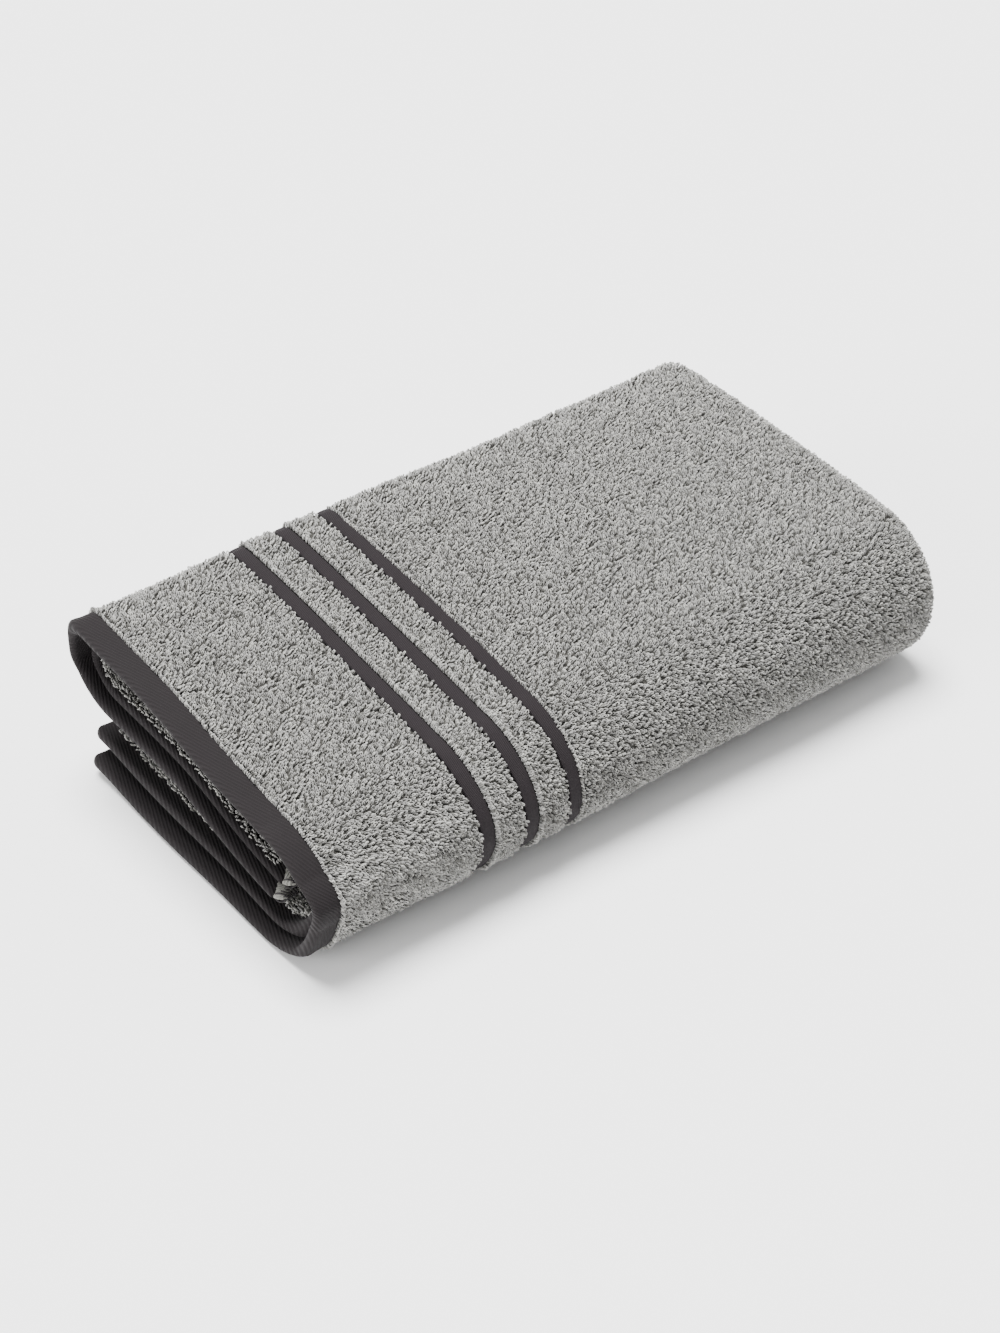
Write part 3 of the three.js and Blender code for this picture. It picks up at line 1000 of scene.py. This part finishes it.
class TOWEL_OT_terry_field(bpy.types.Operator):
    """Make the ground cloth of the plain field, both halves and the tucked end in one sheet"""
    bl_idname = "towel.terry_field"
    bl_label = "Terry Field"

    def execute(self, context):
        line = hook_line(LOW.x, FIELD_STEP)
        half = PLY / 2 - pile().ground_sink
        piece = cloth_piece(
            "terry_field_cloth", line, tapered(line, half), TERRY_FROM, TERRY_TO, FIELD_ROWS, ground())
        settle_in(piece, "terry", "terry_field")
        return {"FINISHED"}


class TOWEL_OT_hems(bpy.types.Operator):
    """Make the twill hem of each half, with its rounded fold and its turned-in edge"""
    bl_idname = "towel.hems"
    bl_label = "Hems"

    def execute(self, context):
        for half, layer in HALVES.items():
            node = f"hem_{half}"
            low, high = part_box(node)
            radius = PLY / 2 - HEM_SINK
            turn = np.linspace(0.1, math.pi / 2, 9)
            edge = low.x + radius * (1 - np.cos(turn))
            flat = np.linspace(low.x + radius, high.x - HEM_EDGE, 20)[1:]
            last = high.x - np.array(THINNING_PLACES) * MM
            x = np.concatenate([edge, flat, last])
            welt = 1 - WELT_STEP * smooth((x - low.x - WELT_WIDTH) / WELT_WIDTH)
            share = np.concatenate([np.sin(turn), np.ones(len(flat)), THINNING_SHARES]) * welt
            line = np.stack([x, np.full(len(x), layer_middle(layer))], axis=1)
            piece = cloth_piece(
                f"{node}_cloth", line, radius * share, 0, PATH_LENGTH - TIP, HEM_ROWS, hem_twill())
            settle_in(piece, "hem", node)
        return {"FINISHED"}


class TOWEL_OT_stripes(bpy.types.Operator):
    """Make the flat woven stripes, which lie below the pile"""
    bl_idname = "towel.stripes"
    bl_label = "Stripes"

    def execute(self, context):
        for half, layer in HALVES.items():
            for index in range(STRIPE_COUNT):
                node = f"stripe_{index + 1}_{half}"
                piece = strip(node, layer, STRIPE_SINK, STRIPE_STEP, STRIPE_CROWN, stripe_twill())
                settle_in(piece, "stripe", node)
        return {"FINISHED"}


class TOWEL_OT_side_hems(bpy.types.Operator):
    """Make the pale side hems at the two ends of the fold path"""
    bl_idname = "towel.side_hems"
    bl_label = "Side Hems"

    def execute(self, context):
        half = PLY / 2 - SIDE_SINK
        for node, s_from in (("side_hem_lower", 0), ("side_hem_middle", PATH_LENGTH - SIDE_HEM_WIDTH)):
            line = hook_line(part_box(node)[0].x, SIDE_STEP)
            piece = cloth_piece(
                f"{node}_cloth", line, tapered(line, half), s_from, s_from + SIDE_HEM_WIDTH,
                SIDE_ROWS, side_twill())
            settle_in(piece, "side", node)
        return {"FINISHED"}


class TOWEL_OT_stitching(bpy.types.Operator):
    """Sew the rows of stitches beside the hems and the side hems, and the corner's whip stitches"""
    bl_idname = "towel.stitching"
    bl_label = "Stitching"

    def execute(self, context):
        self.hem_rows()
        self.side_rows()
        self.corner_stitches()
        return {"FINISHED"}

    def hem_rows(self):
        """Stitches along each hem, on both faces of the cloth."""
        s = np.arange(TERRY_FROM + STITCH_PITCH, TERRY_TO, STITCH_PITCH)
        for half, layer in HALVES.items():
            node = f"hem_stitching_{half}"
            low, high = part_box(node)
            middle = (low.x + high.x) / 2
            reach = PLY / 2 - STITCH_SINK
            both = np.concatenate([s, s])
            sign = np.repeat([-1.0, 1.0], len(s))
            x = np.full(len(both), middle)
            normal = (np.zeros(len(both)), sign)
            tangent = (np.ones(len(both)), np.zeros(len(both)))
            piece = stitches(
                f"{node}_thread", x, both, layer_middle(layer) + sign * reach, normal, tangent,
                True, dark_thread())
            settle_in(piece, "thread", node)

    def side_rows(self):
        """Stitches beside each side hem, on both faces, all the way round the tucked end."""
        line = hook_line(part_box("side_stitching_lower")[0].x, SIDE_STITCH_STEP)
        along = distances(line)
        tangent = unit(np.gradient(line, axis=0))
        t = np.arange(STITCH_PITCH, along[-1] - STITCH_PITCH, STITCH_PITCH)
        reach = PLY / 2 - STITCH_SINK
        away = SIDE_HEM_WIDTH + SIDE_STITCH_GAP
        for node, s_at in (("side_stitching_lower", away), ("side_stitching_middle", PATH_LENGTH - away)):
            t_both = np.concatenate([t, t])
            sign = np.repeat([1.0, -1.0], len(t))
            tx = np.interp(t_both, along, tangent[:, 0])
            td = np.interp(t_both, along, tangent[:, 1])
            nx = sign * td
            nd = -sign * tx
            x = np.interp(t_both, along, line[:, 0]) + nx * reach
            depth = np.interp(t_both, along, line[:, 1]) + nd * reach
            s = np.full(len(t_both), s_at)
            piece = stitches(
                f"{node}_thread", x, s, depth, (nx, nd), (tx, td), False, light_thread())
            settle_in(piece, "side_thread", node)

    def corner_stitches(self):
        """Slanted whip stitches round the free edge at the inner corner."""
        steps = WHIP_STEPS * WHIP_TURNS
        angle = np.linspace(WHIP_START, WHIP_START + WHIP_TURNS * 2 * math.pi, steps)
        # Any direction that the thread never runs along will do for the start of its rings.
        side = np.array([1.0, 0.3, 0.2])[None, None, :]
        for half, layer in HALVES.items():
            node = f"corner_stitching_{half}"
            low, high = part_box(node)
            x = np.linspace(low.x - WHIP_FROM, high.x - WHIP_TO, steps)
            depth = layer_middle(layer) + (PLY / 2 - WHIP_SINK) * np.cos(angle)
            s = PATH_LENGTH - TIP / 2 + (TIP / 2 + WHIP_PAST_EDGE) * np.sin(angle)
            line = place(x, s, depth)[None]
            points, quads, caps = tubes(line, side, WHIP_RADIUS, WHIP_SIDES)
            piece = make_mesh(f"{node}_thread", points, [quads, caps], [dark_thread()])
            settle_in(piece, "thread", node)


class TOWEL_OT_pile(bpy.types.Operator):
    """Raise the terry pile, loop by loop, on every face of the terry that shows"""
    bl_idname = "towel.pile"
    bl_label = "Pile"

    def execute(self, context):
        rng = np.random.default_rng(pile().seed)
        offset = PLY / 2 - pile().ground_sink
        for half, layer in HALVES.items():
            side = 1 if half == "outer" else -1
            for node in half_nodes(half):
                low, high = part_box(node)
                start = low.x - (self.overhang(half) if "border" in node else EDGE_COVER)
                line = straight_line(start, high.x, layer_middle(layer), PILE_STEP)
                climb = smooth((low.x + CLIMB_START - line[:, 0]) / CLIMB_LENGTH)
                line[:, 1] -= side * HEM_CLIMB * climb
                hidden = half == "inner" and "band" in node
                keep = self.clear_of_hem if node == "terry_border_inner" else None
                pile_on(f"{node}_pile", rng, line, offset + PILE_SWELL, side, node,
                        pitch=HIDDEN_PITCH if hidden else None, keep=keep)
        line = hook_line(LOW.x - EDGE_COVER, FIELD_PILE_STEP)
        past_turn = (BEND - LOW.x) + math.pi * (TURN - PLY / 2) + PAST_TURN
        line = line[distances(line) <= past_turn]
        pile_on("terry_field_pile", rng, line, offset, 1, "terry_field", keep=self.shows)
        return {"FINISHED"}

    def overhang(self, half):
        """How far the border's loops hang over the hem: further on the inner half."""
        return OUTER_OVERHANG if half == "outer" else MIDDLE_OVERHANG

    def clear_of_hem(self, x, s):
        """The inner half's loops hang over its hem furthest in the middle third."""
        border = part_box("terry_border_inner")[0].x
        return x > border - np.where(s > MIDDLE_START - OVERHANG_LEAD, MIDDLE_OVERHANG, LOW_OVERHANG)

    def shows(self, x, s):
        """The middle third's outer face lies on the bottom third, and shows only at its edges."""
        return ~((s > MIDDLE_START + SHOWING_EDGE) & (x < BEND - SHOWING_EDGE))


class TOWEL_OT_stage(bpy.types.Operator):
    """Lay the floor and set the camera and the soft studio light"""
    bl_idname = "towel.stage"
    bl_label = "Stage"

    def execute(self, context):
        self.floor()
        self.camera()
        settings = context.scene.towel_studio
        self.light("overhead_light", OVERHEAD_FROM, settings.sun, settings.sun_spread)
        self.light("hem_light", HEM_LIGHT_FROM, settings.hem_light, settings.sun_spread)
        world = bpy.data.worlds.new("studio_white")
        bpy.context.scene.world = world
        world.use_nodes = True
        background = world.node_tree.nodes["Background"]
        background.inputs["Color"].default_value = (1, 1, 1, 1)
        background.inputs["Strength"].default_value = settings.surround
        return {"FINISHED"}

    def floor(self):
        """A wide board whose far edge is out of sight."""
        steps = np.linspace(-FLOOR_HALF, FLOOR_HALF, FLOOR_POINTS)
        x, y = np.meshgrid(steps, steps, indexing="ij")
        points = np.stack([x, y, np.zeros_like(x)], axis=-1)
        quads = grid_faces(len(steps), len(steps))[:, ::-1]
        board = make_mesh(
            "studio_floor", points, [quads], [shared("floor_matt_board", floor_material, colours().floor)])

    def camera(self):
        """The camera stands back from its target along its own line of view."""
        settings = bpy.context.scene.towel_studio
        a, e = settings.azimuth, settings.elevation
        view = np.array([-math.sin(a) * math.cos(e), math.cos(a) * math.cos(e), -math.sin(e)])
        data = bpy.data.cameras.new("camera")
        data.lens = settings.lens
        data.sensor_width = 36
        data.sensor_fit = "AUTO"
        data.dof.use_dof = False
        camera = bpy.data.objects.new("camera", data)
        bpy.context.scene.collection.objects.link(camera)
        camera.location = np.array(settings.target) - view * settings.distance
        camera.rotation_euler = (math.pi / 2 - e, 0, a)
        bpy.context.scene.camera = camera

    def light(self, name, position, strength, spread):
        """A wide, soft light from far away, which comes from the given direction."""
        data = bpy.data.lights.new(name, "SUN")
        data.energy = strength
        data.angle = spread
        lamp = bpy.data.objects.new(name, data)
        bpy.context.scene.collection.objects.link(lamp)
        x, y, z = position
        lamp.rotation_euler = (math.atan2(math.hypot(x, y), z), 0, math.atan2(x, -y))


class TOWEL_PT_panel(bpy.types.Panel):
    """The towel's pieces, in the order in which they are made"""
    bl_label = "Folded Terry Towel"
    bl_idname = "TOWEL_PT_panel"
    bl_space_type = "VIEW_3D"
    bl_region_type = "UI"
    bl_category = "Towel"

    def draw(self, context):
        for operator in OPERATORS:
            self.layout.operator(operator.bl_idname)
        for group, settings in GROUPS.items():
            box = self.layout.box()
            box.label(text=settings.__doc__)
            values = getattr(context.scene, group)
            for name in settings.__annotations__:
                box.prop(values, name)


OPERATORS = (
    TOWEL_OT_terry_bands, TOWEL_OT_terry_field, TOWEL_OT_hems, TOWEL_OT_stripes,
    TOWEL_OT_side_hems, TOWEL_OT_stitching, TOWEL_OT_pile, TOWEL_OT_stage,
)
GROUPS = {
    "towel_shape": TowelShape,
    "towel_pile": TowelPile,
    "towel_colours": TowelColours,
    "towel_studio": TowelStudio,
}


def register():
    for settings in (*GROUPS.values(), *OPERATORS, TOWEL_PT_panel):
        bpy.utils.register_class(settings)
    for name, settings in GROUPS.items():
        setattr(bpy.types.Scene, name, bpy.props.PointerProperty(type=settings))


def unregister():
    for name in GROUPS:
        delattr(bpy.types.Scene, name)
    for settings in (TOWEL_PT_panel, *reversed(OPERATORS), *reversed(tuple(GROUPS.values()))):
        bpy.utils.unregister_class(settings)


def declare_sheets():
    """Gathers the names of the pieces that go with each terry sheet; nothing uses the lists."""
    for half in HALVES:
        for node in half_nodes(half):
            if "border" in node:
                parts = [f"hem_{half}_cloth", f"hem_stitching_{half}_thread",
                         f"corner_stitching_{half}_thread"]
            else:
                parts = [f"stripe_{node.split('_')[2]}_{half}_cloth"]
    parts = [f"stripe_3_{half}_cloth" for half in HALVES]
    for side in ("lower", "middle"):
        parts += [f"side_hem_{side}_cloth", f"side_stitching_{side}_thread"]


def main():
    register()
    for operator in OPERATORS:
        module, name = operator.bl_idname.split(".")
        getattr(getattr(bpy.ops, module), name)()
    declare_sheets()


if __name__ == "__main__":
    main()
